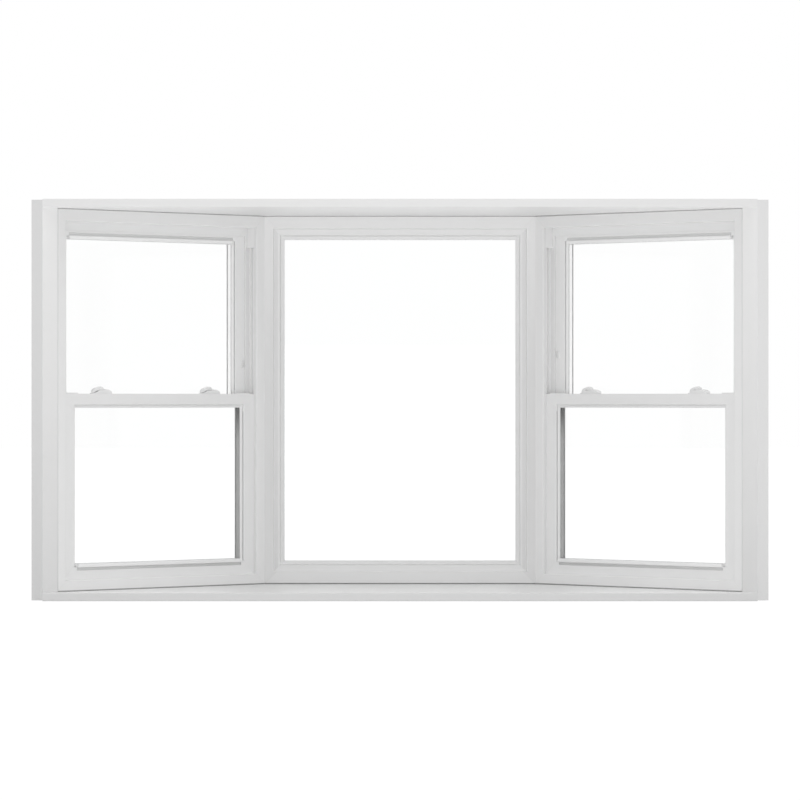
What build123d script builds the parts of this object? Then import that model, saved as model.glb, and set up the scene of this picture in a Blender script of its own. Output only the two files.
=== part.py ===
"""Bay window: a fixed picture unit between two double-hung flankers, with its boards.

Millimetres. Z is up, the room is on the -Y side and the weather is on the +Y side. The pieces
of a unit are built square in its own frame and then placed: X runs along the unit from its left
edge as seen from the room, Y goes out to the weather from its room-side face, and Z is up from
the foot of its frame.
"""

import os
from math import cos, radians, sin, tan

from build123d import (
    Axis,
    BuildPart,
    BuildSketch,
    Circle,
    Locations,
    Mode,
    Plane,
    Polygon,
    Rectangle,
    SlotOverall,
    add,
    edges,
    export_step,
    extrude,
    fillet,
    vertices,
)

# Overall sizes
unit_height = 1067.0
flank_width = 790.0
centre_width = 785.0
bay_angle = 45.0
front_return = 58.0
wall_strip = 30.0
wall_margin = 9.6
board_thickness = 23.0
board_overhang = 10.0
jamb_setback = 2.5

# Frames
fit_gap = 0.3
joint_round = 4.0
nose_round = 2.5
flange_width = 31.0
pocket_floor = 20.0
lower_face = 12.0
sash_depth = 30.5
stop_thickness = 4.5
stop_reach = 37.0
outer_stop_reach = 43.0
outer_lip = 4.1
slot_start = 13.5
slot_width = 9.0
slot_floor = 15.5
head_flange = 35.0
head_stop = 59.0
sill_stop = 30.0
picture_side = 26.0
picture_top = 37.5
picture_bottom = 36.0
picture_face = 11.0
picture_stop = 18.0

# Sashes, beads and glass
stile_edge = 71.5
bead_width = 8.5
bottom_glass = 76.0
top_glass = 83.0
rail_top = 17.7
rail_bottom = 22.0
picture_rail = 19.0
picture_bead = 12.0
leg_thickness = 2.5
bead_setback = 4.5
bead_fall = 3.3
bead_gap = 2.0
pane_setback = 9.0
pane_thickness = 3.0
spacer_width = 5.5
pane_clearance = 1.5
lift_margin = 2.0
lower_reach = 6.0
upper_reach = 3.0

# Hardware
lock_inset = 188.0
lock_length = 76.0
lock_width = 20.0
lock_setback = 0.3
latch_start = 34.0
latch_end = 96.0
vent_inset = 44.0
left_vent_height = 104.0
right_vent_height = 132.0
clip_length = 58.0

# Levels and depths within a flanker
sash_edge = pocket_floor + fit_gap
glass_edge = stile_edge + bead_width
lift_inset = glass_edge + lift_margin
lower_back = lower_face + sash_depth
stop_front = lower_back + fit_gap
stop_back = stop_front + stop_thickness
upper_face = stop_back + fit_gap
outer_stop = upper_face + sash_depth + fit_gap
frame_depth = outer_stop + outer_lip
spacer_depth = sash_depth - leg_thickness - pane_setback - 2 * pane_thickness
middle = unit_height / 2
rail_top_z = middle + rail_top
rail_foot_z = middle - rail_bottom
top_glass_z = unit_height - top_glass

# Plan of the bay, measured back from its front edge
along_x = cos(radians(bay_angle))
along_y = sin(radians(bay_angle))
mitre = tan(radians(bay_angle / 2))
mull_x = centre_width / 2
start_x = mull_x + flank_width * along_x
outer_x = start_x + frame_depth * along_y
half_width = outer_x + wall_margin
wall_depth = front_return + frame_depth * along_x
interior_depth = front_return + flank_width * along_y
board_depth = frame_depth + board_overhang
overall_depth = interior_depth + board_depth
overall_height = unit_height + 2 * board_thickness
front_y = -overall_depth / 2

left_unit = Plane(
    origin=(-start_x, front_y + front_return, board_thickness),
    x_dir=(along_x, along_y, 0),
    z_dir=(0, 0, 1),
)
right_unit = Plane(
    origin=(mull_x, front_y + interior_depth, board_thickness),
    x_dir=(along_x, -along_y, 0),
    z_dir=(0, 0, 1),
)
centre_unit = Plane(
    origin=(-mull_x, front_y + interior_depth, board_thickness),
    x_dir=(1, 0, 0),
    z_dir=(0, 0, 1),
)


def placed(unit, built):
    """A piece moved from its unit's own frame to its place in the bay."""
    with BuildPart() as piece:
        with Locations(unit.location):
            add(built.part)
    return piece


def section_plane(start):
    """The plane across a unit at one distance along it: X out to the weather, Y up."""
    return Plane(origin=(start, 0, 0), x_dir=(0, 1, 0), z_dir=(1, 0, 0))


def elevation_plane(depth):
    """The plane facing the room at one depth: X along the unit, Y up, extruding roomward."""
    return Plane(origin=(0, depth, 0), x_dir=(1, 0, 0), z_dir=(0, -1, 0))


def both_sides(points, width):
    """One plan profile and its mirror image at the far edge of the unit."""
    Polygon(*points, align=None)
    Polygon(*[(width - u, v) for u, v in points], align=None)


def near(*points):
    """A filter for the sketch corners that lie at the given points."""
    return lambda corner: any(
        abs(corner.X - x) < 0.01 and abs(corner.Y - y) < 0.01 for x, y in points
    )


def outline(sides):
    """A filter for the room-side outline edges of a frame: head, sill and the given sides."""

    def chosen(edge):
        spot = edge.center()
        on_side = any(abs(spot.X - side) < 0.01 for side in sides)
        at_end = spot.Z < 0.01 or spot.Z > unit_height - 0.01
        return abs(spot.Y) < 0.01 and (on_side or at_end)

    return chosen


def make_flank_frame(wall_edge):
    """The welded frame of a flanker: two pocketed jambs, the head and the sloping sill."""
    slots = [lower_face + slot_start, upper_face + slot_start]
    jamb = [
        (0, 0),
        (flange_width, 0),
        (flange_width, lower_face - fit_gap),
        (pocket_floor, lower_face - fit_gap),
        (pocket_floor, slots[0]),
        (slot_floor, slots[0]),
        (slot_floor, slots[0] + slot_width),
        (pocket_floor, slots[0] + slot_width),
        (pocket_floor, stop_front),
        (stop_reach, stop_front),
        (stop_reach, stop_back),
        (pocket_floor, stop_back),
        (pocket_floor, slots[1]),
        (slot_floor, slots[1]),
        (slot_floor, slots[1] + slot_width),
        (pocket_floor, slots[1] + slot_width),
        (pocket_floor, outer_stop),
        (outer_stop_reach, outer_stop),
        (outer_stop_reach, frame_depth),
        (0, frame_depth),
    ]
    top = unit_height
    head = [
        (0, top),
        (0, top - head_flange),
        (stop_front, top - head_flange),
        (stop_front, top - head_stop),
        (stop_back, top - head_stop),
        (stop_back, top - pocket_floor),
        (outer_stop, top - pocket_floor),
        (outer_stop, top - outer_stop_reach),
        (frame_depth, top - outer_stop_reach),
        (frame_depth, top),
    ]
    sill = [
        (0, 0),
        (0, flange_width),
        (lower_face - fit_gap, flange_width),
        (lower_face - fit_gap, pocket_floor),
        (stop_front, pocket_floor),
        (stop_front, sill_stop),
        (stop_back, sill_stop),
        (stop_back, pocket_floor + 5),
        (frame_depth, pocket_floor - 6),
        (frame_depth, 0),
    ]
    far = flank_width
    noses = near((flange_width, 0), (far - flange_width, 0))
    stops = near((stop_reach, stop_front), (far - stop_reach, stop_front))
    with BuildPart() as frame:
        with BuildSketch():
            both_sides(jamb, far)
            fillet(vertices().filter_by(noses), nose_round)
            fillet(vertices().filter_by(stops), 1)
        extrude(amount=unit_height)
        with BuildSketch(section_plane(0)):
            Polygon(*head, align=None)
            Polygon(*sill, align=None)
            fillet(vertices().filter_by(near(head[1], sill[1])), nose_round)
            fillet(vertices().filter_by(near(head[3])), 1)
        extrude(amount=flank_width)
        fillet(edges().filter_by(outline([wall_edge])), joint_round)
    return frame


def make_picture_frame():
    """The welded frame of the picture unit: deep noses round a fixed sash, and a sloping sill."""
    far = centre_width
    top = unit_height
    stop = picture_face + sash_depth + fit_gap
    jamb = [
        (0, 0),
        (picture_side, 0),
        (picture_side, stop),
        (picture_side + picture_stop, stop),
        (picture_side + picture_stop, frame_depth),
        (0, frame_depth),
    ]
    head = [
        (0, top),
        (0, top - picture_top),
        (stop, top - picture_top),
        (stop, top - picture_top - picture_stop),
        (frame_depth, top - picture_top - picture_stop),
        (frame_depth, top),
    ]
    sill = [
        (0, 0),
        (0, picture_bottom),
        (stop, picture_bottom),
        (stop, picture_bottom + picture_stop),
        (frame_depth, picture_bottom + picture_stop - 9),
        (frame_depth, 0),
    ]
    with BuildPart() as frame:
        with BuildSketch():
            both_sides(jamb, far)
            noses = near((picture_side, 0), (far - picture_side, 0))
            fillet(vertices().filter_by(noses), nose_round)
        extrude(amount=unit_height)
        with BuildSketch(section_plane(0)):
            Polygon(*head, align=None)
            Polygon(*sill, align=None)
            fillet(vertices().filter_by(near(head[1], sill[1])), nose_round)
        extrude(amount=far)
        fillet(edges().filter_by(outline([])), joint_round)
    return frame


def make_ring(width, face, sides, levels):
    """A welded sash ring rebated from the room side for its glass.

    The sides are the distances of its edge, its rebate and its glass from the unit's edge, and
    the levels are its foot, low rebate, low glass, high glass, high rebate and top.
    """
    edge, rebate, glass = sides
    back = face + sash_depth
    leg = back - leg_thickness
    stile = [
        (edge, face),
        (rebate, face),
        (rebate, leg),
        (glass, leg),
        (glass, back),
        (edge, back),
    ]
    rails = [
        [
            (face, outer),
            (face, inner),
            (leg, inner),
            (leg, sight),
            (back, sight),
            (back, outer),
        ]
        for outer, inner, sight in (levels[:3], levels[:2:-1])
    ]
    with BuildPart() as ring:
        with BuildSketch(Plane.XY.offset(levels[0])):
            both_sides(stile, width)
            rounds = near((rebate, face), (width - rebate, face))
            fillet(vertices().filter_by(rounds), 1.2)
        extrude(amount=levels[5] - levels[0])
        with BuildSketch(section_plane(edge)):
            for rail in rails:
                Polygon(*rail, align=None)
            fillet(vertices().filter_by(near(rails[0][1], rails[1][1])), 1.2)
        extrude(amount=width - 2 * edge)
    return ring


def make_bead(width, face, sides, levels):
    """A glazing bead ring, falling to the glass, with a shadow gap round its front edge."""
    rebate, glass = sides[1:]
    front = face + bead_setback
    heel = front + bead_fall
    back = face + pane_setback
    upright = [
        (rebate + bead_gap, front),
        (glass, heel),
        (glass, back),
        (rebate, back),
        (rebate, heel),
        (rebate + bead_gap, heel),
    ]
    bars = []
    for outer, sight in (levels[1:3], levels[4:2:-1]):
        lip = outer + bead_gap if sight > outer else outer - bead_gap
        bars.append(
            [(front, lip), (heel, sight), (back, sight), (back, outer), (heel, outer), (heel, lip)]
        )
    with BuildPart() as bead:
        with BuildSketch(Plane.XY.offset(levels[1])):
            both_sides(upright, width)
        extrude(amount=levels[4] - levels[1])
        with BuildSketch(section_plane(rebate)):
            for bar in bars:
                Polygon(*bar, align=None)
        extrude(amount=width - 2 * rebate)
    return bead


def make_glass(width, face, sides, levels):
    """The two panes of a sealed unit, one each side of its spacer."""
    front = face + pane_setback
    backs = [front + pane_thickness, front + spacer_depth + 2 * pane_thickness]
    planes = [elevation_plane(back) for back in backs]
    spot = (width / 2, (levels[1] + levels[4]) / 2)
    across = width - 2 * (sides[1] + pane_clearance)
    upright = levels[4] - levels[1] - 2 * pane_clearance
    with BuildPart() as glass:
        with BuildSketch(*planes):
            with Locations(spot):
                Rectangle(across, upright)
        extrude(amount=pane_thickness)
    return glass


def make_spacer(width, face, sides, levels):
    """The spacer ring that holds the two panes of a sealed unit apart."""
    back = face + pane_setback + pane_thickness + spacer_depth
    spot = (width / 2, (levels[1] + levels[4]) / 2)
    across = width - 2 * (sides[1] + pane_clearance + 0.5)
    upright = levels[4] - levels[1] - 2 * (pane_clearance + 0.5)
    rim = 2 * spacer_width
    with BuildPart() as spacer:
        with BuildSketch(elevation_plane(back)):
            with Locations(spot):
                Rectangle(across, upright)
                Rectangle(across - rim, upright - rim, mode=Mode.SUBTRACT)
        extrude(amount=spacer_depth)
    return spacer


def make_flank_sash(face, levels, lift, hook):
    """A double-hung sash: its ring, the lift rail beside the glass and the meeting-rail hook."""
    sight, up, reach = lift
    heel = bead_setback - 0.4
    groove = [(-1.0, 19.0), (0.0, 19.0), (3.0, 17.5), (3.0, 10.8), (-1.0, 10.8)]
    lip = [(3.0, 10.8), (-reach, 9.2), (-reach, 1.2), (1.2 - reach, 0.0), (heel, 0.0), (heel, 10.8)]
    ring = make_ring(flank_width, face, flank_sides, levels)
    with BuildPart() as sash:
        add(ring.part)
        with BuildSketch(section_plane(lift_inset)):
            Polygon(*[(face + v, sight - up * w) for v, w in groove], align=None)
        extrude(amount=flank_width - 2 * lift_inset, mode=Mode.SUBTRACT)
        with BuildSketch(section_plane(lift_inset)):
            Polygon(*[(face + v, sight - up * w) for v, w in lip], align=None)
        extrude(amount=flank_width - 2 * lift_inset)
        with BuildSketch(section_plane(stop_reach + 1)):
            Polygon(*hook, align=None)
        extrude(amount=flank_width - 2 * (stop_reach + 1))
    return sash


def make_board(foot):
    """A board over or under the units, cut to the plan of the bay between the wall jambs."""
    strip_x = half_width - wall_strip
    corner_x = mull_x + board_depth * mitre
    lip_x = start_x + board_depth * along_y
    lip_y = front_return + board_depth * along_x
    right = [
        (strip_x, 0),
        (start_x, front_return),
        (outer_x, wall_depth),
        (lip_x, lip_y),
        (corner_x, overall_depth),
    ]
    left = [(-x, y) for x, y in reversed(right)]
    with BuildPart() as board:
        with BuildSketch(Plane.XY.offset(foot)):
            Polygon(*[(x, front_y + y) for x, y in right + left], align=None)
        extrude(amount=board_thickness)
        front = edges().filter_by(Axis.X).group_by(Axis.Y)[0]
        fillet(front, 2)
    return board


def make_wall_jamb(side):
    """The jamb at the wall: a flat strip to the room, then a slope back to the flanker."""
    plan = [
        (half_width, 0),
        (half_width - wall_strip, 0),
        (start_x, front_return),
        (outer_x, wall_depth),
        (half_width, wall_depth),
    ]
    with BuildPart() as jamb:
        with BuildSketch(Plane.XY.offset(jamb_setback)):
            Polygon(*[(side * x, front_y + y) for x, y in plan], align=None)
        extrude(amount=overall_height - 2 * jamb_setback)
    return jamb


def make_mull_post(side):
    """The wedge that fills the corner between a flanker and the picture unit."""
    root = 6.0
    outer = interior_depth + frame_depth
    plan = [
        (mull_x + fit_gap, interior_depth + root),
        (mull_x + root * along_y, interior_depth + root * along_x + fit_gap),
        (mull_x + frame_depth * along_y, interior_depth + frame_depth * along_x + fit_gap),
        (mull_x + frame_depth * mitre, outer),
        (mull_x + fit_gap, outer),
    ]
    with BuildPart() as post:
        with BuildSketch(Plane.XY.offset(board_thickness)):
            Polygon(*[(side * x, front_y + y) for x, y in plan], align=None)
        extrude(amount=unit_height)
    return post


def lock_spots():
    """The distance of each cam lock along its unit."""
    return [lock_inset, flank_width - lock_inset]


def make_lock_bases():
    """The cam housings on the meeting rail: a sculpted side profile cut to a rounded plan."""
    half = lock_length / 2
    side = [
        (-half, 0),
        (-half, 2.0),
        (-28.0, 2.8),
        (-19.0, 6.4),
        (-13.0, 10.0),
        (8.5, 10.0),
        (9.5, 12.5),
        (20.0, 11.5),
        (30.0, 7.5),
        (35.0, 4.2),
        (half, 2.0),
        (half, 0),
    ]
    depth = lower_back - lock_setback
    with BuildPart() as bases:
        with BuildSketch(elevation_plane(depth)):
            for spot in lock_spots():
                Polygon(*[(spot + u, rail_top_z + w) for u, w in side], align=None)
        extrude(amount=lock_width)
        with BuildSketch(Plane.XY.offset(rail_top_z)):
            for spot in lock_spots():
                with Locations((spot, depth - lock_width / 2)):
                    SlotOverall(lock_length, lock_width)
        extrude(amount=20.0, mode=Mode.INTERSECT)
    return bases


def make_lock_levers():
    """The thumb levers of the cam locks, turned to the locked side, each on its hub."""
    middle_depth = lower_back - lock_setback - lock_width / 2
    side = [
        (7.0, 11.2),
        (7.0, 13.5),
        (3.0, 17.6),
        (-5.0, 20.4),
        (-11.0, 18.4),
        (-20.0, 16.8),
        (-28.0, 13.5),
        (-34.0, 6.5),
        (-34.0, 3.0),
        (-28.0, 4.4),
        (-19.0, 8.4),
        (-14.0, 11.2),
    ]
    plan = [(6.5, -6.0), (6.5, 6.0), (-8.0, 8.0), (-34.0, 5.0), (-34.0, -3.5), (-8.0, -8.0)]
    with BuildPart() as levers:
        with BuildSketch(elevation_plane(middle_depth + 9.5)):
            for spot in lock_spots():
                Polygon(*[(spot + u, rail_top_z + w) for u, w in side], align=None)
        extrude(amount=19.0)
        with BuildSketch(Plane.XY.offset(rail_top_z)):
            for spot in lock_spots():
                Polygon(*[(spot + u, middle_depth + v) for u, v in plan], align=None)
            fillet(vertices(), 3)
        extrude(amount=24.0, mode=Mode.INTERSECT)
        with BuildSketch(Plane.XY.offset(rail_top_z + 10.0)):
            for spot in lock_spots():
                with Locations((spot, middle_depth)):
                    Circle(5.0)
        extrude(amount=3.0)
    return levers


def make_lock_keepers():
    """The keepers on the upper sash, on the ledge beside the lower edge of its bead."""
    ledge = rail_top_z - bead_width
    with BuildPart() as keepers:
        with BuildSketch(Plane.XY.offset(ledge)):
            for spot in lock_spots():
                with Locations((spot, upper_face + bead_setback / 2)):
                    Rectangle(50.0, bead_setback - 0.6)
        extrude(amount=7.0)
    return keepers


def make_tilt_latches():
    """The slide latches at both ends of the lower sash's top rail."""
    depth = lower_back - 15.5
    length = latch_end - latch_start
    with BuildPart() as latches:
        with BuildSketch(Plane.XY.offset(rail_top_z)):
            for spot in (latch_start + length / 2, flank_width - latch_start - length / 2):
                with Locations((spot, depth)):
                    SlotOverall(length, 17.0)
        extrude(amount=3.0, taper=12)
        with BuildSketch(Plane.XY.offset(rail_top_z + 3.0)):
            for spot in (latch_end - 18.0, flank_width - latch_end + 18.0):
                with Locations((spot, depth)):
                    Rectangle(4.0, 9.0)
        extrude(amount=-1.4, mode=Mode.SUBTRACT)
    return latches


def make_vent_latches(height):
    """The small vent latches on the room face of the upper sash's stiles, with a thumb notch."""
    with BuildPart() as latches:
        with BuildSketch(elevation_plane(upper_face)):
            for spot in (vent_inset, flank_width - vent_inset):
                with Locations((spot, middle + height)):
                    Rectangle(9.0, 20.0)
            fillet(vertices(), 1.5)
        extrude(amount=3.0, taper=15)
        with BuildSketch(elevation_plane(upper_face)):
            for spot in (vent_inset, flank_width - vent_inset):
                with Locations((spot, middle + height - 3.5)):
                    Rectangle(4.6, 7.5)
        extrude(amount=4.0, mode=Mode.SUBTRACT)
    return latches


def make_track_clips():
    """The covers that close the inner track at the head of both jambs."""
    start = unit_height - head_flange
    depth = sash_depth
    with BuildPart() as clips:
        with BuildSketch(Plane.XY.offset(start)):
            for spot in (pocket_floor + 4.5, flank_width - pocket_floor - 4.5):
                with Locations((spot, lower_face + depth / 2)):
                    Rectangle(9.0, depth)
        extrude(amount=-clip_length)
    return clips


flank_sides = (sash_edge, stile_edge, glass_edge)
lower_levels = (
    sash_edge,
    bottom_glass - bead_width,
    bottom_glass,
    rail_foot_z,
    rail_foot_z + bead_width,
    rail_top_z,
)
upper_levels = (
    rail_foot_z,
    rail_top_z - bead_width,
    rail_top_z,
    top_glass_z,
    top_glass_z + bead_width,
    unit_height - sash_edge,
)
lower_lift = (bottom_glass, 1, lower_reach)
upper_lift = (top_glass_z, -1, upper_reach)
lower_hook = [
    (lower_back, rail_top_z - 2.0),
    (lower_back + 3.6, rail_top_z - 2.0),
    (lower_back + 3.6, rail_top_z - 11.0),
    (lower_back + 2.4, rail_top_z - 11.0),
    (lower_back + 2.4, rail_top_z - 3.2),
    (lower_back, rail_top_z - 3.2),
]
upper_hook = [
    (upper_face, rail_top_z - 18.2),
    (lower_back + 0.8, rail_top_z - 18.2),
    (lower_back + 0.8, rail_top_z - 6.2),
    (lower_back + 2.0, rail_top_z - 6.2),
    (lower_back + 2.0, rail_top_z - 17.0),
    (upper_face, rail_top_z - 17.0),
]
picture_sides = (
    picture_side + fit_gap,
    picture_side + picture_rail,
    picture_side + picture_rail + picture_bead,
)
picture_levels = (
    picture_bottom + fit_gap,
    picture_bottom + picture_rail,
    picture_bottom + picture_rail + picture_bead,
    unit_height - picture_top - picture_rail - picture_bead,
    unit_height - picture_top - picture_rail,
    unit_height - picture_top - fit_gap,
)

# Boards, wall jambs and mull posts
seat_board = make_board(0)
head_board = make_board(board_thickness + unit_height)
left_wall_jamb = make_wall_jamb(-1)
right_wall_jamb = make_wall_jamb(1)
left_mull_post = make_mull_post(-1)
right_mull_post = make_mull_post(1)

# Picture unit
picture = (centre_width, picture_face, picture_sides, picture_levels)
picture_frame = placed(centre_unit, make_picture_frame())
picture_sash = placed(centre_unit, make_ring(*picture))
picture_bead_ring = placed(centre_unit, make_bead(*picture))
picture_glass = placed(centre_unit, make_glass(*picture))
picture_spacer = placed(centre_unit, make_spacer(*picture))

# Pieces that both flankers share
lower = (flank_width, lower_face, flank_sides, lower_levels)
upper = (flank_width, upper_face, flank_sides, upper_levels)
lower_sash = make_flank_sash(lower_face, lower_levels, lower_lift, lower_hook)
upper_sash = make_flank_sash(upper_face, upper_levels, upper_lift, upper_hook)
lower_bead = make_bead(*lower)
upper_bead = make_bead(*upper)
lower_glass = make_glass(*lower)
upper_glass = make_glass(*upper)
lower_spacer = make_spacer(*lower)
upper_spacer = make_spacer(*upper)
lock_bases = make_lock_bases()
lock_levers = make_lock_levers()
lock_keepers = make_lock_keepers()
tilt_latches = make_tilt_latches()
track_clips = make_track_clips()

# Left flanker
left_frame = placed(left_unit, make_flank_frame(0))
left_lower_sash = placed(left_unit, lower_sash)
left_upper_sash = placed(left_unit, upper_sash)
left_lower_bead = placed(left_unit, lower_bead)
left_upper_bead = placed(left_unit, upper_bead)
left_lower_glass = placed(left_unit, lower_glass)
left_upper_glass = placed(left_unit, upper_glass)
left_lower_spacer = placed(left_unit, lower_spacer)
left_upper_spacer = placed(left_unit, upper_spacer)
left_lock_bases = placed(left_unit, lock_bases)
left_lock_levers = placed(left_unit, lock_levers)
left_lock_keepers = placed(left_unit, lock_keepers)
left_tilt_latches = placed(left_unit, tilt_latches)
left_vent_latches = placed(left_unit, make_vent_latches(left_vent_height))
left_track_clips = placed(left_unit, track_clips)

# Right flanker
right_frame = placed(right_unit, make_flank_frame(flank_width))
right_lower_sash = placed(right_unit, lower_sash)
right_upper_sash = placed(right_unit, upper_sash)
right_lower_bead = placed(right_unit, lower_bead)
right_upper_bead = placed(right_unit, upper_bead)
right_lower_glass = placed(right_unit, lower_glass)
right_upper_glass = placed(right_unit, upper_glass)
right_lower_spacer = placed(right_unit, lower_spacer)
right_upper_spacer = placed(right_unit, upper_spacer)
right_lock_bases = placed(right_unit, lock_bases)
right_lock_levers = placed(right_unit, lock_levers)
right_lock_keepers = placed(right_unit, lock_keepers)
right_tilt_latches = placed(right_unit, tilt_latches)
right_vent_latches = placed(right_unit, make_vent_latches(right_vent_height))
right_track_clips = placed(right_unit, track_clips)

os.makedirs("parts", exist_ok=True)

seat_board.part.label = "seat_board"
export_step(seat_board.part, "parts/seat_board.step")

head_board.part.label = "head_board"
export_step(head_board.part, "parts/head_board.step")

left_wall_jamb.part.label = "left_wall_jamb"
export_step(left_wall_jamb.part, "parts/left_wall_jamb.step")

right_wall_jamb.part.label = "right_wall_jamb"
export_step(right_wall_jamb.part, "parts/right_wall_jamb.step")

left_mull_post.part.label = "left_mull_post"
export_step(left_mull_post.part, "parts/left_mull_post.step")

right_mull_post.part.label = "right_mull_post"
export_step(right_mull_post.part, "parts/right_mull_post.step")

picture_frame.part.label = "picture_frame"
export_step(picture_frame.part, "parts/picture_frame.step")

picture_sash.part.label = "picture_sash"
export_step(picture_sash.part, "parts/picture_sash.step")

picture_bead_ring.part.label = "picture_bead_ring"
export_step(picture_bead_ring.part, "parts/picture_bead_ring.step")

picture_glass.part.label = "picture_glass"
export_step(picture_glass.part, "parts/picture_glass.step")

picture_spacer.part.label = "picture_spacer"
export_step(picture_spacer.part, "parts/picture_spacer.step")

left_frame.part.label = "left_frame"
export_step(left_frame.part, "parts/left_frame.step")

left_lower_sash.part.label = "left_lower_sash"
export_step(left_lower_sash.part, "parts/left_lower_sash.step")

left_upper_sash.part.label = "left_upper_sash"
export_step(left_upper_sash.part, "parts/left_upper_sash.step")

left_lower_bead.part.label = "left_lower_bead"
export_step(left_lower_bead.part, "parts/left_lower_bead.step")

left_upper_bead.part.label = "left_upper_bead"
export_step(left_upper_bead.part, "parts/left_upper_bead.step")

left_lower_glass.part.label = "left_lower_glass"
export_step(left_lower_glass.part, "parts/left_lower_glass.step")

left_upper_glass.part.label = "left_upper_glass"
export_step(left_upper_glass.part, "parts/left_upper_glass.step")

left_lower_spacer.part.label = "left_lower_spacer"
export_step(left_lower_spacer.part, "parts/left_lower_spacer.step")

left_upper_spacer.part.label = "left_upper_spacer"
export_step(left_upper_spacer.part, "parts/left_upper_spacer.step")

left_lock_bases.part.label = "left_lock_bases"
export_step(left_lock_bases.part, "parts/left_lock_bases.step")

left_lock_levers.part.label = "left_lock_levers"
export_step(left_lock_levers.part, "parts/left_lock_levers.step")

left_lock_keepers.part.label = "left_lock_keepers"
export_step(left_lock_keepers.part, "parts/left_lock_keepers.step")

left_tilt_latches.part.label = "left_tilt_latches"
export_step(left_tilt_latches.part, "parts/left_tilt_latches.step")

left_vent_latches.part.label = "left_vent_latches"
export_step(left_vent_latches.part, "parts/left_vent_latches.step")

left_track_clips.part.label = "left_track_clips"
export_step(left_track_clips.part, "parts/left_track_clips.step")

right_frame.part.label = "right_frame"
export_step(right_frame.part, "parts/right_frame.step")

right_lower_sash.part.label = "right_lower_sash"
export_step(right_lower_sash.part, "parts/right_lower_sash.step")

right_upper_sash.part.label = "right_upper_sash"
export_step(right_upper_sash.part, "parts/right_upper_sash.step")

right_lower_bead.part.label = "right_lower_bead"
export_step(right_lower_bead.part, "parts/right_lower_bead.step")

right_upper_bead.part.label = "right_upper_bead"
export_step(right_upper_bead.part, "parts/right_upper_bead.step")

right_lower_glass.part.label = "right_lower_glass"
export_step(right_lower_glass.part, "parts/right_lower_glass.step")

right_upper_glass.part.label = "right_upper_glass"
export_step(right_upper_glass.part, "parts/right_upper_glass.step")

right_lower_spacer.part.label = "right_lower_spacer"
export_step(right_lower_spacer.part, "parts/right_lower_spacer.step")

right_upper_spacer.part.label = "right_upper_spacer"
export_step(right_upper_spacer.part, "parts/right_upper_spacer.step")

right_lock_bases.part.label = "right_lock_bases"
export_step(right_lock_bases.part, "parts/right_lock_bases.step")

right_lock_levers.part.label = "right_lock_levers"
export_step(right_lock_levers.part, "parts/right_lock_levers.step")

right_lock_keepers.part.label = "right_lock_keepers"
export_step(right_lock_keepers.part, "parts/right_lock_keepers.step")

right_tilt_latches.part.label = "right_tilt_latches"
export_step(right_tilt_latches.part, "parts/right_tilt_latches.step")

right_vent_latches.part.label = "right_vent_latches"
export_step(right_vent_latches.part, "parts/right_vent_latches.step")

right_track_clips.part.label = "right_track_clips"
export_step(right_track_clips.part, "parts/right_track_clips.step")
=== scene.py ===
"""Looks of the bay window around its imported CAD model.

Metres, Z up, with the room on the -Y side.
"""

import math
from typing import NamedTuple

import bpy
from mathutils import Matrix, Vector


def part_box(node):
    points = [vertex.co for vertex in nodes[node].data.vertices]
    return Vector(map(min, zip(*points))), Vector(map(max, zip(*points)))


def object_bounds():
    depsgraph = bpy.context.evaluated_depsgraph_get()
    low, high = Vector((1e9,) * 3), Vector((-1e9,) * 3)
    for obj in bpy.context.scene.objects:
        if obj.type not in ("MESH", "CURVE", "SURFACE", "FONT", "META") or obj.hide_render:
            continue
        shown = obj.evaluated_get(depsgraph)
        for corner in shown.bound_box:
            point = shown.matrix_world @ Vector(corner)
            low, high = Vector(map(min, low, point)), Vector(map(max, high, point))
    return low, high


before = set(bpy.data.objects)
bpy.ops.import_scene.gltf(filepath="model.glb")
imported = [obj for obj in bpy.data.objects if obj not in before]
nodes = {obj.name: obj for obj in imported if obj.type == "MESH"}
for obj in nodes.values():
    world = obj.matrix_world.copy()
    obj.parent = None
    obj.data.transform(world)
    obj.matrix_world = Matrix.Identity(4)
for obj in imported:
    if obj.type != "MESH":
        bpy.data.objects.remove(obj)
cad_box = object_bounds()

# ---------------------------------------------------------------- sizes and places
BAY_ANGLE = math.radians(45)
COS, SIN = math.cos(BAY_ANGLE), math.sin(BAY_ANGLE)

left_low, left_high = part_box("left_frame")
right_low, right_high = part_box("right_frame")
centre_low, centre_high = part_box("picture_frame")

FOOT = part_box("seat_board")[1].z
CENTRE_WIDTH, DEPTH, UNIT_HEIGHT = centre_high - centre_low
FLANK_WIDTH = (left_high - left_low).x / COS - DEPTH

# how far the sashes' room faces lie behind that of their frame, and how far the outer edges
# of a slanted unit's sashes and beads lie from the side of their frame
LOWER_FACE, UPPER_FACE, PICTURE_FACE = 0.0120, 0.0476, 0.0110
SASH_EDGE, BEAD_EDGE = 0.0203, 0.0715


class Unit(NamedTuple):
    """A unit's own frame: X along it from its left edge, Y to the weather, Z up."""

    origin: tuple
    turn: float
    width: float


LEFT_FRONT = left_high.y - FLANK_WIDTH * SIN - DEPTH * COS
RIGHT_FRONT = right_high.y - DEPTH * COS
UNITS = {
    "left": Unit((left_low.x + DEPTH * SIN, LEFT_FRONT, FOOT), BAY_ANGLE, FLANK_WIDTH),
    "right": Unit((right_low.x, RIGHT_FRONT, FOOT), -BAY_ANGLE, FLANK_WIDTH),
    "centre": Unit((centre_low.x, centre_low.y, FOOT), 0.0, CENTRE_WIDTH),
}


class Ring(NamedTuple):
    """A ring of four bars: how far it lies from its unit's sides, its foot and its top."""

    edge: float
    low: float
    high: float


def levels(node):
    """How high the foot and the top of a node lie above the seat board."""
    return tuple(corner.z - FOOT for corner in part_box(node))


# ---------------------------------------------------------------- node helpers
def grey(value, warm=0.0):
    """A near-white linear colour."""
    return (value * (1 + warm), value, value * (1 - warm), 1.0)


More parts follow.
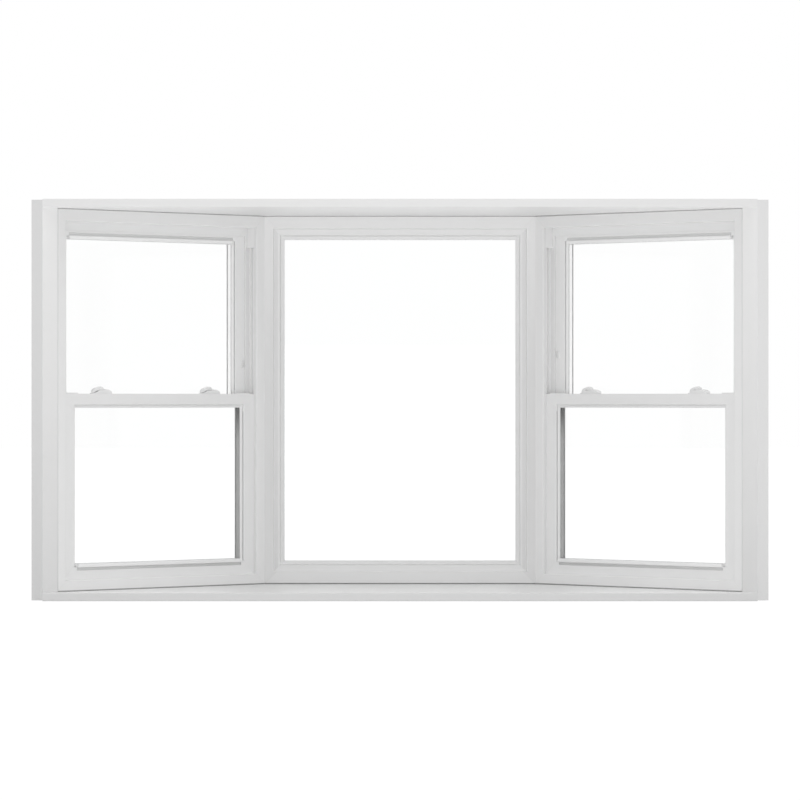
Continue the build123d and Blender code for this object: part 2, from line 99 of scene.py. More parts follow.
class Tree:
    """A short way to write the nodes of a material or a world."""

    def __init__(self, owner, output):
        self.owner = owner
        owner.use_nodes = True
        self.nodes = owner.node_tree.nodes
        self.links = owner.node_tree.links
        self.nodes.clear()
        self.output = self.add(output)

    def feed(self, socket, value):
        """Links a socket, or sets the socket's own value."""
        if isinstance(value, bpy.types.NodeSocket):
            self.links.new(value, socket)
        else:
            socket.default_value = value

    def add(self, kind, values=None, **settings):
        node = self.nodes.new(kind)
        for key, value in settings.items():
            setattr(node, key, value)
        for key, value in (values or {}).items():
            self.feed(node.inputs[key], value)
        return node

    def math(self, operation, *values):
        node = self.add("ShaderNodeMath", operation=operation)
        for socket, value in zip(node.inputs, values):
            self.feed(socket, value)
        return node.outputs[0]

    def minus(self, first, second):
        return self.math("SUBTRACT", first, second)

    def product(self, value, *factors):
        for factor in factors:
            value = self.math("MULTIPLY", value, factor)
        return value

    def total(self, *terms):
        *others, value = terms
        for term in reversed(others):
            value = self.math("ADD", term, value)
        return value

    def ramp(self, value, low, high, ends):
        node = self.add(
            "ShaderNodeMapRange",
            {
                "Value": value,
                "From Min": low,
                "From Max": high,
                "To Min": ends[0],
                "To Max": ends[1],
            },
            interpolation_type="SMOOTHSTEP",
        )
        return node.outputs[0]

    def rise(self, value, low, high):
        """From 0 at the low value to 1 at the high one."""
        return self.ramp(value, low, high, (0.0, 1.0))

    def fall(self, value, low, high):
        """From 1 at the low value to 0 at the high one."""
        return self.ramp(value, low, high, (1.0, 0.0))

    def noise(self, vector, scale, detail=2.0, roughness=0.5):
        node = self.add(
            "ShaderNodeTexNoise",
            {"Vector": vector, "Scale": scale, "Detail": detail, "Roughness": roughness},
        )
        return node.outputs[0]

    def mix(self, sockets, factor, first, second, **settings):
        """A Mix node, whose sockets for each type of data have their own indices."""
        node = self.add("ShaderNodeMix", clamp_factor=True, **settings)
        for index, value in zip(sockets, (factor, first, second)):
            self.feed(node.inputs[index], value)
        return node.outputs[sockets[-1]]

    def mix_vector(self, factor, first, second):
        sockets = (0, 4, 5, 1)
        return self.mix(sockets, factor, first, second, data_type="VECTOR")

    def mix_colour(self, factor, first, second, **settings):
        sockets = (0, 6, 7, 2)
        return self.mix(sockets, factor, first, second, data_type="RGBA", **settings)

    def tint(self, colour, other):
        return self.mix_colour(1.0, colour, other, blend_type="MULTIPLY")

    def mix_shader(self, factor, first, second):
        node = self.add("ShaderNodeMixShader")
        for socket, value in zip(node.inputs, (factor, first, second)):
            self.feed(socket, value)
        return node.outputs[0]

    def fade(self, value, start, stop, first, last):
        """A grey that goes evenly from a first tone to a last one."""
        node = self.add(
            "ShaderNodeMapRange", {"Value": value, "From Min": start, "From Max": stop}
        )
        return self.mix_colour(node.outputs[0], grey(first), grey(last))

    def clouded(self, colour, cloud, low, high):
        """A colour that varies a little between two greys."""
        return self.tint(colour, self.mix_colour(cloud, low, high))

    def position(self):
        """The point in the object's frame, which is that of the CAD."""
        return self.add("ShaderNodeTexCoord").outputs["Object"]

    def unit_position(self, unit):
        """The point in a unit's own frame."""
        node = self.add(
            "ShaderNodeMapping",
            {
                "Vector": self.position(),
                "Location": unit.origin,
                "Rotation": (0, 0, unit.turn),
            },
            vector_type="TEXTURE",
        )
        return node.outputs[0]

    def stretched(self, vector, x, y, z):
        """A vector whose texture is drawn out along the axes with a small scale."""
        node = self.add("ShaderNodeMapping", {"Vector": vector, "Scale": (x, y, z)})
        return node.outputs[0]

    def split(self, vector):
        return self.add("ShaderNodeSeparateXYZ", {"Vector": vector}).outputs

    def bump(self, height, strength):
        """A normal from a height in metres."""
        values = {"Height": height, "Strength": strength, "Distance": 1.0}
        return self.add("ShaderNodeBump", values).outputs[0]

    def principled(self, **values):
        """A Principled shader, with the names of its inputs written in lower case."""
        names = {
            "base_color": "Base Color",
            "ior": "IOR",
            "specular": "Specular IOR Level",
            "transmission": "Transmission Weight",
        }
        inputs = {names.get(key, key.title()): value for key, value in values.items()}
        return self.add("ShaderNodeBsdfPrincipled", inputs).outputs[0]

    def seen(self):
        """1 for the rays that show the background: straight, in metal or through glass."""
        path = self.add("ShaderNodeLightPath").outputs
        mirrored = self.math("MAXIMUM", path["Is Glossy Ray"], path["Is Transmission Ray"])
        return self.math("MAXIMUM", path["Is Camera Ray"], mirrored)

    def finish(self, shader):
        self.links.new(shader, self.output.inputs["Surface"])
        return self.owner


class MaterialTree(Tree):
    """The nodes of a new material."""

    def __init__(self, name):
        super().__init__(bpy.data.materials.new(name), "ShaderNodeOutputMaterial")


# ---------------------------------------------------------------- white vinyl
# textures: scale, detail and roughness, then the height of each in metres
DIE_LINES, DIE_WAVES = (260.0, 3.0, 0.6), (26.0, 1.0)
PEEL, VINYL_CLOUD = (900.0,), (7.0, 3.0, 0.55)
LINE_RELIEF, WAVE_RELIEF, PEEL_RELIEF, WELD_RELIEF = 0.000016, 0.00006, 0.000004, 0.00018
DRAWN_OUT = 0.004
VINYL_TINTS = (grey(0.985, 0.002), grey(1.012, -0.001))
VINYL_ROUGHNESS, VINYL_BUMP, VINYL_IOR = 0.28, 0.9, 1.52
LINE_ROUGHNESS, CLOUD_ROUGHNESS, WELD_ROUGHNESS = 0.10, 0.05, 0.2
WELD_REACH = (0.00015, 0.00080)
WELD_STAIN, WELD_TONE = 0.22, 0.72

# painted light and shade: the lighter tones are painted light where recesses and edges fall
# into shade, and the darker ones are painted shade in reveals, grooves and on a
# weather-side lip
PAINTED_LIGHT_FULL, PAINTED_LIGHT, PAINTED_LIGHT_SOFT, PAINTED_SHADE, PAINTED_SHADE_DEEP, PAINTED_SHADE_LIP = 0.99, 0.98, 0.92, 0.56, 0.40, 0.50
# painted shade in the crevices where a frame meets the seat, the head and a wall jamb
SEAT_JOINT, HEAD_JOINT, CENTRE_JOINT, WALL_JOINT = 0.36, 0.56, 0.72, 0.66
SEAT_GAP, OTHER_GAP, GAP_FADE = 0.0012, 0.0006, 0.0036
ROOM_SIDE = (0.006, 0.008)
ZONE_EDGE = 0.0003
# painted shade on the stiles beside the frame's nose
NOSE_SHADE, NOSE_REACH = 0.93, (0.0105, 0.0130)
# painted light on the outer rims of the picture sash and of the beads
NOSE_RIM, BEAD_RIM, RIM_FADE = 0.0008, 0.0023, 0.0006
# heights over which the stiles take painted shade away from their corners
MIDDLE_SHADE_FROM = (-0.15 * UNIT_HEIGHT, 0.3 * UNIT_HEIGHT)
MIDDLE_SHADE_TO = (0.5 * UNIT_HEIGHT, UNIT_HEIGHT)


class RingTree(MaterialTree):
    """The nodes of a welded ring of four bars, in its unit's own frame."""

    def __init__(self, name, unit, ring):
        super().__init__(name)
        self.unit = unit
        self.spot = self.unit_position(unit)
        self.u, self.v, self.w = self.split(self.spot)
        left = self.minus(self.u, ring.edge)
        right = self.minus(unit.width - ring.edge, self.u)
        foot = self.minus(self.w, ring.low)
        top = self.minus(ring.high, self.w)
        self.from_side = self.math("MINIMUM", left, right)
        self.from_end = self.math("MINIMUM", foot, top)
        self.off_mitre = self.minus(self.from_end, self.from_side)
        self.stiles = self.math("GREATER_THAN", self.off_mitre, 0.0)
        self.rails = self.minus(1.0, self.stiles)

    def along(self):
        """A vector for textures that are drawn out along each bar."""
        level = self.stretched(self.spot, DRAWN_OUT, 1.0, 1.0)
        upright = self.stretched(self.spot, 1.0, 1.0, DRAWN_OUT)
        return self.mix_vector(self.stiles, level, upright)

    def even(self, tones):
        """Two tones of painted light and shade, along a slanted unit or from the foot up
        the middle one.
        """
        if self.unit.turn:
            return self.fade(self.u, 0.0, self.unit.width, *tones)
        return self.fade(self.w, 0.0, UNIT_HEIGHT, *tones)

    def bars(self, where):
        """A mask of the rails, the mull stile, or the rails below or above a height."""
        if where == "rails":
            return self.rails
        if where == "mull stile":
            half = "LESS_THAN" if self.unit.turn < 0 else "GREATER_THAN"
            return self.product(self.stiles, self.math(half, self.u, self.unit.width / 2))
        side, height = where
        half = "LESS_THAN" if side == "below" else "GREATER_THAN"
        return self.product(self.rails, self.math(half, self.w, height))

    def shaded_middles(self, colour, dip):
        """The stiles, darker away from their corners: painted shade."""
        away = self.product(self.rise(self.w, *MIDDLE_SHADE_FROM), self.fall(self.w, *MIDDLE_SHADE_TO))
        middle_shade = self.product(away, self.stiles)
        return self.mix_colour(middle_shade, colour, self.tint(colour, grey(1.0 - dip)))

    def zoned(self, colour, zones):
        """Bands of depth with a tone of their own, painted light or shade: bars, start,
        stop, tone.
        """
        for where, start, stop, tone in zones:
            inside = self.product(
                self.rise(self.v, start, start + ZONE_EDGE),
                self.fall(self.v, stop, stop + ZONE_EDGE),
            )
            if where != "all":
                inside = self.product(inside, self.bars(where))
            colour = self.mix_colour(inside, colour, grey(tone))
        return colour

    def shaded_nose(self, colour):
        """Painted shade on the stiles beside the frame's nose, where its shadow falls."""
        shade_paint = self.product(self.fall(self.from_side, *NOSE_REACH), self.stiles)
        return self.mix_colour(shade_paint, colour, self.tint(colour, grey(NOSE_SHADE)))

    def lightened_rim(self, colour, rim):
        """Painted light on the rebate round the outside, where a contact shadow falls."""
        from_edge = self.math("MINIMUM", self.from_side, self.from_end)
        rim_light = self.fall(from_edge, rim, rim + RIM_FADE)
        return self.mix_colour(rim_light, colour, grey(PAINTED_LIGHT_FULL))

    def jointed(self, colour, wall):
        """Painted shade in the crevices at the boards and at the wall jamb, if one side has
        it.
        """
        head = HEAD_JOINT if self.unit.turn else CENTRE_JOINT
        gaps = [
            (self.w, SEAT_JOINT, SEAT_GAP),
            (self.minus(UNIT_HEIGHT, self.w), head, OTHER_GAP),
        ]
        if wall == "left":
            gaps.append((self.u, WALL_JOINT, OTHER_GAP))
        elif wall == "right":
            gaps.append((self.minus(self.unit.width, self.u), WALL_JOINT, OTHER_GAP))
        room_side = self.fall(self.v, *ROOM_SIDE)
        for distance, tone, gap in gaps:
            crevice = self.product(self.fall(distance, gap, gap + GAP_FADE), room_side)
            colour = self.mix_colour(crevice, colour, grey(tone))
        return colour


def vinyl(name, unit, ring, tones, zones=(), joints=None, dip=0.0, shade_paint=False, rim=0.0):
    """Extruded white vinyl, welded at the mitres of a ring.

    It has die lines and slow waves along each bar, a fine orange peel and a cleaned weld.
    The joints are for a frame that meets the boards: the side of its wall jamb, or "boards"
    where it has none; their crevices take painted shade. The dip is how much darker its
    stiles are away from their corners, as painted shade. The tones, the zones, the shade
    beside the nose and the rim paint light and shade into the colour.
    """
    t = RingTree(name, unit, ring)
    along = t.along()
    lines = t.noise(along, *DIE_LINES)
    waves = t.noise(along, *DIE_WAVES)
    peel = t.noise(t.spot, *PEEL)
    cloud = t.noise(t.spot, *VINYL_CLOUD)
    weld = t.fall(t.math("ABSOLUTE", t.off_mitre), *WELD_REACH)
    relief = t.total(
        t.product(lines, LINE_RELIEF),
        t.product(waves, WAVE_RELIEF),
        t.product(peel, PEEL_RELIEF),
    )
    height = t.minus(relief, t.product(weld, WELD_RELIEF))

    colour = t.clouded(t.even(tones), cloud, *VINYL_TINTS)
    if dip:
        colour = t.shaded_middles(colour, dip)
    colour = t.zoned(colour, zones)
    if shade_paint:
        colour = t.shaded_nose(colour)
    if rim:
        colour = t.lightened_rim(colour, rim)
    if joints:
        colour = t.jointed(colour, joints)
    stain = grey(sum(tones) / 2 * WELD_TONE)
    colour = t.mix_colour(t.product(weld, WELD_STAIN), colour, stain)

    shader = t.principled(
        base_color=colour,
        roughness=t.total(
            t.math("MULTIPLY_ADD", lines, LINE_ROUGHNESS, VINYL_ROUGHNESS),
            t.product(cloud, CLOUD_ROUGHNESS),
            t.product(weld, WELD_ROUGHNESS),
        ),
        normal=t.bump(height, VINYL_BUMP),
        ior=VINYL_IOR,
    )
    return t.finish(shader)


# ---------------------------------------------------------------- boards and hardware
BOARD_TONE = 0.84
LAY, ROLLER, BOARD_CLOUD = (60.0, 4.0, 0.6), (420.0, 3.0, 0.6), (4.0, 3.0)
LAY_RELIEF, ROLLER_RELIEF, ARRIS_RELIEF = 0.000035, 0.00002, 0.00005
BOARD_TINTS = (grey(0.985, 0.003), grey(1.012))
BOARD_ROUGHNESS, BOARD_BUMP, BOARD_IOR = 0.33, 0.8, 1.5
ROLLER_ROUGHNESS, BOARD_CLOUD_ROUGHNESS = 0.12, 0.06
BAND_REACH, BAND_END, ARRIS_REACH = 0.0006, 0.00078, 0.003
LIMIT_FADE = 0.0006

ENAMEL_TONES = (grey(0.8624), grey(0.8888))
FLOW, GRAIN = (160.0,), (2200.0,)
FLOW_RELIEF, GRAIN_RELIEF = 0.00005, 0.000003
ENAMEL_ROUGHNESS, FLOW_ROUGHNESS, ENAMEL_BUMP, ENAMEL_IOR = 0.22, 0.08, 0.8, 1.52


class Fade(NamedTuple):
    """Tones that change evenly along an axis, with the distance from the origin."""

    axis: int
    start: float
    stop: float
    first: float
    last: float


def painted_board(name, along, fade=None, limit=math.inf, band=None):
    """A white laminated board: a fine roller texture over the faint lay of its core.

    The lay is drawn out along the axis with the smallest scale. The fade, painted light and
    shade, reaches up to the limit, and the board is plain above it. The band is two tones
    of painted shade, from the foot up, which cover the front edge to its arris.
    """
    t = MaterialTree(name)
    spot = t.position()
    place = t.split(spot)
    lay = t.noise(t.stretched(spot, *along), *LAY)
    roller = t.noise(spot, *ROLLER)
    cloud = t.noise(spot, *BOARD_CLOUD)
    height = t.total(t.product(roller, ROLLER_RELIEF), t.product(lay, LAY_RELIEF))

    colour = grey(BOARD_TONE)
    if fade:
        colour = t.fade(t.math("ABSOLUTE", place[fade.axis]), *fade[1:])
    if limit < math.inf:
        above = t.rise(place[2], limit, limit + LIMIT_FADE)
        colour = t.mix_colour(above, colour, grey(BOARD_TONE))
    colour = t.clouded(colour, cloud, *BOARD_TINTS)
    if band:
        # painted shade on the front edge, in two tones from the foot up
        behind = t.minus(place[1], cad_box[0].y)
        edge = t.fall(behind, BAND_REACH, BAND_END)
        edge_shade = t.fade(place[2], FOOT, FOOT + UNIT_HEIGHT, *band)
        colour = t.mix_colour(edge, colour, edge_shade)
        near, far = t.rise(behind, 0.0, BAND_REACH), t.rise(behind, BAND_REACH, ARRIS_REACH)
        height = t.minus(height, t.product(t.minus(near, far), ARRIS_RELIEF))

    shader = t.principled(
        base_color=colour,
        roughness=t.total(
            t.math("MULTIPLY_ADD", roller, ROLLER_ROUGHNESS, BOARD_ROUGHNESS),
            t.product(cloud, BOARD_CLOUD_ROUGHNESS),
        ),
        normal=t.bump(height, BOARD_BUMP),
        ior=BOARD_IOR,
    )
    return t.finish(shader)


def white_enamel(name):
    """Cast hardware in white enamel: glossier than the vinyl, with a faint flow."""
    t = MaterialTree(name)
    spot = t.position()
    flow = t.noise(spot, *FLOW)
    grain = t.noise(spot, *GRAIN)
    height = t.total(t.product(flow, FLOW_RELIEF), t.product(grain, GRAIN_RELIEF))
    shader = t.principled(
        base_color=t.mix_colour(flow, *ENAMEL_TONES),
        roughness=t.math("MULTIPLY_ADD", flow, FLOW_ROUGHNESS, ENAMEL_ROUGHNESS),
        normal=t.bump(height, ENAMEL_BUMP),
        ior=ENAMEL_IOR,
    )
    return t.finish(shader)


# ---------------------------------------------------------------- spacers and glass
class Bar(NamedTuple):
    """The finish of a spacer bar."""

    tone: float
    roughness: float
    metallic: float


# the darker finish of the lower spacers is painted shade; the bright one is the bar's own
BRIGHT_BAR, SHADED_BAR = Bar(0.90, 0.06, 1.0), Bar(0.46, 0.35, 0.25)
BAR_LINES, BAR_CLOUD, BAR_DRAWN_OUT = (900.0, 3.0, 0.6), (20.0,), 0.02
BAR_DARK, BAR_LIGHT = 0.94, 1.05
BAR_LINE_ROUGHNESS, BAR_RELIEF, BAR_BUMP = 0.2, 0.00002, 0.8
# painted shade on the lower spacers, darkest just under the meeting rail
RAIL_SHADE, RAIL_SHADE_REACH = 0.42, (0.005, 0.11)

# weaker than real glass, so that the slanted panes stay as clear as the middle one
PANE_IOR, PANE_SPECULAR = 1.15, 0.03
PANE_COLOUR, PANE_CLEAR = (0.998, 1.0, 0.9995, 1.0), (0.970, 0.972, 0.971, 1.0)
DRAW, DRAWN_UP, DRAW_RELIEF, DRAW_BUMP = (2.2, 1.0), (1.0, 1.0, 0.3), 0.00002, 0.5


def spacer_bar(name, unit, finish, top=None):
    """A roll-formed spacer bar with drawn lines along it, with painted shade towards a
    given top.
    """
    t = MaterialTree(name)
    spot = t.unit_position(unit)
    lines = t.noise(t.stretched(spot, BAR_DRAWN_OUT, 1.0, BAR_DRAWN_OUT), *BAR_LINES)
    cloud = t.noise(spot, *BAR_CLOUD)
    dark, light = grey(finish.tone * BAR_DARK), grey(finish.tone * BAR_LIGHT)
    colour = t.mix_colour(cloud, dark, light)
    if top is not None:
        rail_shade = t.fall(t.minus(top, t.split(spot)[2]), *RAIL_SHADE_REACH)
        colour = t.mix_colour(rail_shade, colour, grey(finish.tone * RAIL_SHADE))
    shader = t.principled(
        base_color=colour,
        roughness=t.math("MULTIPLY_ADD", lines, BAR_LINE_ROUGHNESS, finish.roughness),
        normal=t.bump(t.product(lines, BAR_RELIEF), BAR_BUMP),
        metallic=finish.metallic,
    )
    return t.finish(shader)


def clear_pane(name):
    """Float glass, which rays from lamps and diffuse rays go straight through."""
    t = MaterialTree(name)
    draw = t.noise(t.stretched(t.position(), *DRAWN_UP), *DRAW)
    glass = t.principled(
        base_color=PANE_COLOUR,
        roughness=0.0,
        normal=t.bump(t.product(draw, DRAW_RELIEF), DRAW_BUMP),
        specular=PANE_SPECULAR,
        ior=PANE_IOR,
        transmission=1.0,
    )
    clear = t.add("ShaderNodeBsdfTransparent", {"Color": PANE_CLEAR})
    path = t.add("ShaderNodeLightPath").outputs
    through = t.math("MAXIMUM", path["Is Shadow Ray"], path["Is Diffuse Ray"])
    return t.finish(t.mix_shader(through, glass, clear.outputs[0]))


# ---------------------------------------------------------------- dress the CAD nodes
def wear(node, material):
    """Gives a CAD node its material."""
    piece = nodes[node]
    if not piece.material_slots:
        piece.data.materials.append(material)
    for slot in piece.material_slots:
        slot.material = material


# painted light and shade: tones of the far ends, of the slanted units from the wall to the
# mull and of the middle unit from the foot up; the upper sashes take the lighter pair
SHADED_TONES, LIT_TONES, CENTRE_TONES = (0.84, 0.90), (0.91, 0.95), (0.84, 0.905)
# painted light on the upper beads and on the track clips, lighter than the vinyl round them
BEAD_TONES, CLIP_TONES = (PAINTED_LIGHT, PAINTED_LIGHT), (0.95, 0.95)
# how much painted shade darkens the stiles away from their corners
FRAME_DIP, SASH_DIP = 0.13, 0.05

# where the painted light and painted shade begin and end, behind the face of the frame or
# the
# sash: only the lip of a lift rail stands proud of it
FLANK_STEP, CENTRE_STEP = (0.0003, 0.0117), (0.0003, 0.0115)
INNER_TRACK = (LOWER_FACE, 0.0426)
SASH_REBATE, STEPPED_EDGE = (0.0005, 0.0090), (0.0003, 0.0110)
BEAD_REVEAL, LIFT_GROOVE, LIFT_LIP = (0.0020, 0.0038), (0.0005, 0.0036), (-0.0070, -0.0008)
WEATHER_LIP = (0.0275, 0.0296)
# painted shade in the grooves of the lift rails
GROOVE_OFFSET, LOWER_GROOVE, UPPER_GROOVE = 0.001, 0.69, 0.76

HARDWARE = ("lock_bases", "lock_levers", "lock_keepers", "tilt_latches", "vent_latches")

# the ring of a frame, and one whose mitres lie well off the clips, which are no ring
FRAME_RING, WIDE_RING = Ring(0.0, 0.0, UNIT_HEIGHT), Ring(0.0, -1.0, 3.0)


def zone(where, face, depths, tone):
    """A band of depth behind a face, on the bars that are named."""
    return (where, face + depths[0], face + depths[1], tone)


def sash_zones(lower, bead_low, bead_high):
    """The painted light and painted shade of a slanted unit's sash."""
    # painted shade in the mull stile's reveal and the lift groove, painted light on the
    # lip; the weather-side lip takes painted shade on the lower sash and painted light on
    # the upper one
    if lower:
        face, outer_rail = LOWER_FACE, ("below", bead_low - GROOVE_OFFSET)
        shade_paint, groove, lip, rear_lip_tone = PAINTED_SHADE_DEEP, LOWER_GROOVE, PAINTED_LIGHT_SOFT, PAINTED_SHADE_LIP
    else:
        face, outer_rail = UPPER_FACE, ("above", bead_high + GROOVE_OFFSET)
        shade_paint, groove, lip, rear_lip_tone = PAINTED_SHADE, UPPER_GROOVE, PAINTED_LIGHT_FULL, PAINTED_LIGHT_FULL
    return [
        zone("all", face, SASH_REBATE, PAINTED_LIGHT),
        zone("mull stile", face, BEAD_REVEAL, shade_paint),
        zone(outer_rail, face, LIFT_GROOVE, groove),
        zone("rails", face, LIFT_LIP, lip),
        zone("all", face, WEATHER_LIP, rear_lip_tone),
    ]


def dress_flank(side, glass, enamel):
    """The frame, sashes, panes and hardware of a slanted unit."""
    unit = UNITS[side]
    order = 1 if side == "left" else -1
    # the first tones paint shade on the frame and the lower sashes, and the second, lighter
    # ones paint light on the upper sashes
    shaded_tones, new = SHADED_TONES[::order], LIT_TONES[::order]
    # painted light on the frame's step and inner track; its joints take painted shade
    zones = [zone("rails", 0.0, FLANK_STEP, PAINTED_LIGHT_FULL), zone("all", 0.0, INNER_TRACK, PAINTED_LIGHT)]
    looks = vinyl(f"{side}_frame_vinyl", unit, FRAME_RING, shaded_tones, zones, joints=side)
    wear(f"{side}_frame", looks)
    for level in ("lower", "upper"):
        lower = level == "lower"
        prefix = f"{side}_{level}"
        sash, bead, bar = f"{prefix}_sash", f"{prefix}_bead", f"{prefix}_spacer"
        ring, zones = Ring(SASH_EDGE, *levels(sash)), sash_zones(lower, *levels(bead))
        wear(sash, vinyl(f"{sash}_vinyl", unit, ring, shaded_tones if lower else new, zones))
        ring, tones = Ring(BEAD_EDGE, *levels(bead)), shaded_tones if lower else BEAD_TONES
        wear(bead, vinyl(f"{bead}_vinyl", unit, ring, tones, rim=BEAD_RIM))
        wear(f"{prefix}_glass", glass)
        if lower:
            wear(bar, spacer_bar(f"{bar}_bar", unit, SHADED_BAR, top=levels(bar)[1]))
        else:
            wear(bar, spacer_bar(f"{bar}_bar", unit, BRIGHT_BAR))
    for piece in HARDWARE:
        wear(f"{side}_{piece}", enamel)
    wear(f"{side}_track_clips", vinyl(f"{side}_track_vinyl", unit, WIDE_RING, CLIP_TONES))


def dress_centre(glass):
    """The frame, fixed sash, bead, panes and spacer of the middle unit."""
    unit = UNITS["centre"]
    # painted light on the steps and the rims; painted shade in the crevices at the boards,
    # beside the frame's nose and along the stiles away from their corners
    frame_looks = {
        "zones": [zone("all", 0.0, CENTRE_STEP, PAINTED_LIGHT_FULL)],
        "joints": "boards",
        "dip": FRAME_DIP,
    }
    sash_looks = {
        "zones": [zone("all", PICTURE_FACE, STEPPED_EDGE, PAINTED_LIGHT_FULL)],
        "shade_paint": True,
        "rim": NOSE_RIM,
        "dip": SASH_DIP,
    }
    for piece, looks in {
        "picture_frame": frame_looks,
        "picture_sash": sash_looks,
        "picture_bead_ring": {"rim": BEAD_RIM, "dip": SASH_DIP},
    }.items():
        ring = Ring(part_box(piece)[0].x - centre_low.x, *levels(piece))
        wear(piece, vinyl(f"{piece}_vinyl", unit, ring, CENTRE_TONES, **looks))
    wear("picture_glass", glass)
    wear("picture_spacer", spacer_bar("picture_spacer_bar", unit, BRIGHT_BAR))


# boards: the scales that draw out the lay, the tones of painted light and shade, and the
# heights where a fade ends; the head's underside is lighter outward, the seat darker in the
# middle, the jambs darker towards the foot, and the front edges take painted shade
LEVEL_LAY, UPRIGHT_LAY = (0.02, 1.0, 1.0), (1.0, 1.0, 0.02)
OUTWARD = (0, CENTRE_WIDTH / 2, cad_box[1].x * 0.7)
SOFFIT, SEAT = Fade(*OUTWARD, 0.90, 1.0), Fade(*OUTWARD, 0.76, 0.90)
JAMB = Fade(2, FOOT, FOOT + UNIT_HEIGHT, 0.76, 0.94)
SOFFIT_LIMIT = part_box("head_board")[0].z + 0.0003
JAMB_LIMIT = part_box("left_wall_jamb")[1].z - 0.0008
SEAT_EDGE_SHADE, JAMB_EDGE_SHADES = (0.72, 0.72), {"left": (0.66, 0.74), "right": (0.74, 0.81)}


def dress_boards():
    """The head and seat boards, the wall jambs and the mull posts."""
    wear("head_board", painted_board("head_laminate", LEVEL_LAY, SOFFIT, SOFFIT_LIMIT))
    wear("seat_board", painted_board("seat_laminate", LEVEL_LAY, SEAT, band=SEAT_EDGE_SHADE))
    for side, band in JAMB_EDGE_SHADES.items():
        name = f"{side}_jamb_laminate"
        laminate = painted_board(name, UPRIGHT_LAY, JAMB, JAMB_LIMIT, band)
        wear(f"{side}_wall_jamb", laminate)
        wear(f"{side}_mull_post", painted_board(f"{side}_post_laminate", UPRIGHT_LAY))


glass = clear_pane("float_glass")
enamel = white_enamel("white_enamel")
dress_flank("left", glass, enamel)
dress_flank("right", glass, enamel)
dress_centre(glass)
dress_boards()

# ---------------------------------------------------------------- ease the edges
# real edges are never knife sharp: thin pieces keep theirs best, and cast hardware least
THIN, EXTRUDED, LAMINATED, CAST_BASE, CAST_LEVER = 0.0004, 0.0005, 0.0006, 0.0007, 0.0008
MERGE_REACH, SHARP = 0.00002, math.radians(35)
FLANK_EDGES = {
    "frame": EXTRUDED,
    "lower_sash": EXTRUDED,
    "upper_sash": EXTRUDED,
    "lower_bead": THIN,
    "upper_bead": THIN,
    "wall_jamb": LAMINATED,
    "mull_post": THIN,
    "lock_bases": CAST_BASE,
    "lock_levers": CAST_LEVER,
    "lock_keepers": THIN,
    "tilt_latches": THIN,
    "vent_latches": THIN,
    "track_clips": THIN,
}
MIDDLE_EDGES = {
    "picture_frame": EXTRUDED,
    "picture_sash": EXTRUDED,
    "picture_bead_ring": THIN,
    "head_board": LAMINATED,
    "seat_board": LAMINATED,
}


def ease(node, width):
    """Rounds a node's sharp edges a little."""
    piece = nodes[node]
    weld = piece.modifiers.new("weld", "WELD")
    weld.merge_threshold = MERGE_REACH
    bevel = piece.modifiers.new("ease", "BEVEL")
    bevel.width = width
    bevel.segments = 2
    bevel.limit_method = "ANGLE"
    bevel.angle_limit = SHARP
    bevel.use_clamp_overlap = True
    normals = piece.modifiers.new("normals", "WEIGHTED_NORMAL")
    normals.keep_sharp = True
    normals.weight = 60


for piece, width in FLANK_EDGES.items():
    ease(f"left_{piece}", width)
    ease(f"right_{piece}", width)
for node, width in MIDDLE_EDGES.items():
    ease(node, width)

# ---------------------------------------------------------------- floor, light and camera
FLOOR_REACH, FLOOR_LEVEL, FLOOR_TONE = 40.0, -0.0006, 0.80
FLOOR_WHITE, FLOOR_LIFT = 0.90, 0.06
WHITE = (1, 1, 1, 1)

# even light, with broad soft sources overhead, at the left and right and behind the window:
# the axis each one comes along, and its strength towards the positive end
EVEN = 0.12
LOBES = ((2, 0.90), (0, -0.54), (0, 0.60), (1, 0.20))

PANEL_SPOT, PANEL_AIM = Vector((0, -2.75, 0.45)), Vector((0, 0, 0.55))
PANEL_SIZE, PANEL_POWER = (2.2, 0.6), 10.0
CAMERA_LENS, CAMERA_SENSOR, CAMERA_CLIP = 208.04, 36.0, 200.0
CAMERA_DISTANCE = 12.785


def show(name, data):
    """A new object in the scene."""
    thing = bpy.data.objects.new(name, data)
    bpy.context.scene.collection.objects.link(thing)
    return thing


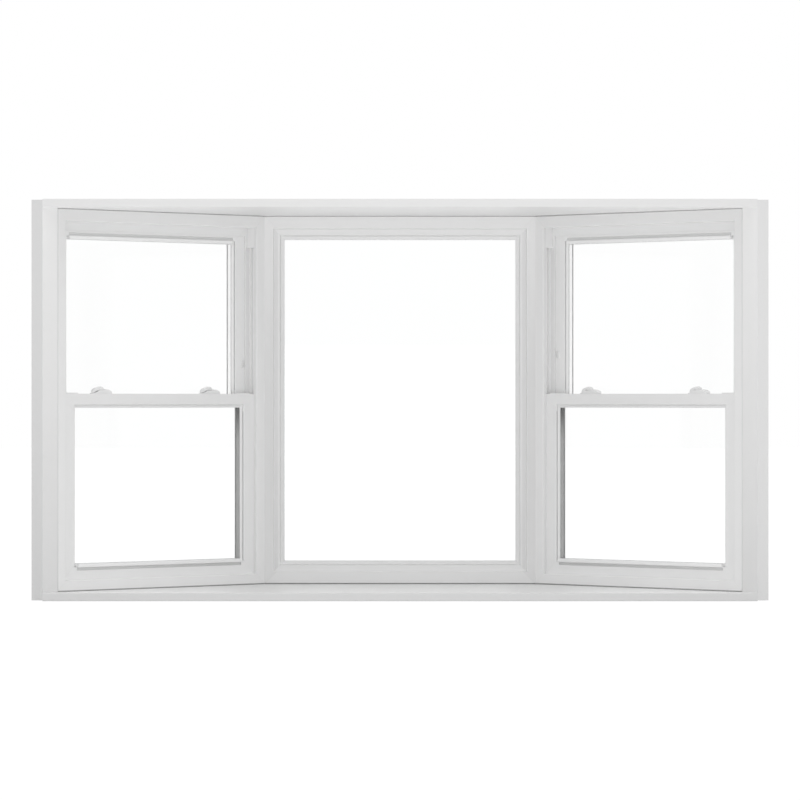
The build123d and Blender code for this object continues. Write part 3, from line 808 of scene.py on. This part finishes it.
def pale_floor(name):
    """A floor that shows nearly white, and keeps the object's shadow."""
    t = MaterialTree(name)
    seen = t.seen()
    plain = t.add("ShaderNodeBsdfDiffuse", {"Color": grey(FLOOR_TONE)})
    white = t.add("ShaderNodeEmission", {"Strength": 1.0})
    lift = t.add("ShaderNodeEmission", {"Strength": t.product(seen, FLOOR_LIFT)})
    both = t.add("ShaderNodeAddShader")
    pale = t.mix_shader(t.product(seen, FLOOR_WHITE), plain.outputs[0], white.outputs[0])
    t.feed(both.inputs[0], pale)
    t.feed(both.inputs[1], lift.outputs[0])
    return t.finish(both.outputs[0])


def studio(name):
    """A soft studio's light, behind which a plain white backdrop shows."""
    t = Tree(bpy.data.worlds.new(name), "ShaderNodeOutputWorld")
    toward = t.split(t.add("ShaderNodeTexCoord").outputs["Generated"])
    strength = EVEN
    for axis, weight in LOBES:
        lobe = t.math("MAXIMUM", t.product(toward[axis], weight), 0.0)
        strength = t.total(lobe, strength)
    ambient = t.add("ShaderNodeBackground", {"Color": WHITE, "Strength": strength})
    backdrop = t.add("ShaderNodeBackground", {"Color": WHITE, "Strength": 1.0})
    return t.finish(t.mix_shader(t.seen(), ambient.outputs[0], backdrop.outputs[0]))


corners = [(-1, -1), (1, -1), (1, 1), (-1, 1)]
floor_mesh = bpy.data.meshes.new("floor")
floor_mesh.from_pydata(
    [(FLOOR_REACH * x, FLOOR_REACH * y, 0) for x, y in corners], [], [(0, 1, 2, 3)]
)
floor_mesh.materials.append(pale_floor("pale_floor"))
floor = show("floor", floor_mesh)
floor.location.z = FLOOR_LEVEL

bpy.context.scene.world = studio("studio")

panel_data = bpy.data.lights.new("front_panel", "AREA")
panel_data.shape = "RECTANGLE"
panel_data.size, panel_data.size_y = PANEL_SIZE
panel_data.energy = PANEL_POWER
panel = show("front_panel", panel_data)
panel.location = PANEL_SPOT
panel.rotation_euler = (PANEL_AIM - PANEL_SPOT).to_track_quat("-Z", "Y").to_euler()

camera_data = bpy.data.cameras.new("camera")
camera_data.lens = CAMERA_LENS
camera_data.sensor_width = CAMERA_SENSOR
camera_data.clip_end = CAMERA_CLIP
camera = show("camera", camera_data)
camera.location = (0, cad_box[0].y - CAMERA_DISTANCE, (cad_box[0].z + cad_box[1].z) / 2)
camera.rotation_euler = (math.radians(90), 0, 0)
bpy.context.scene.camera = camera
bpy.context.scene.view_settings.view_transform = "Standard"
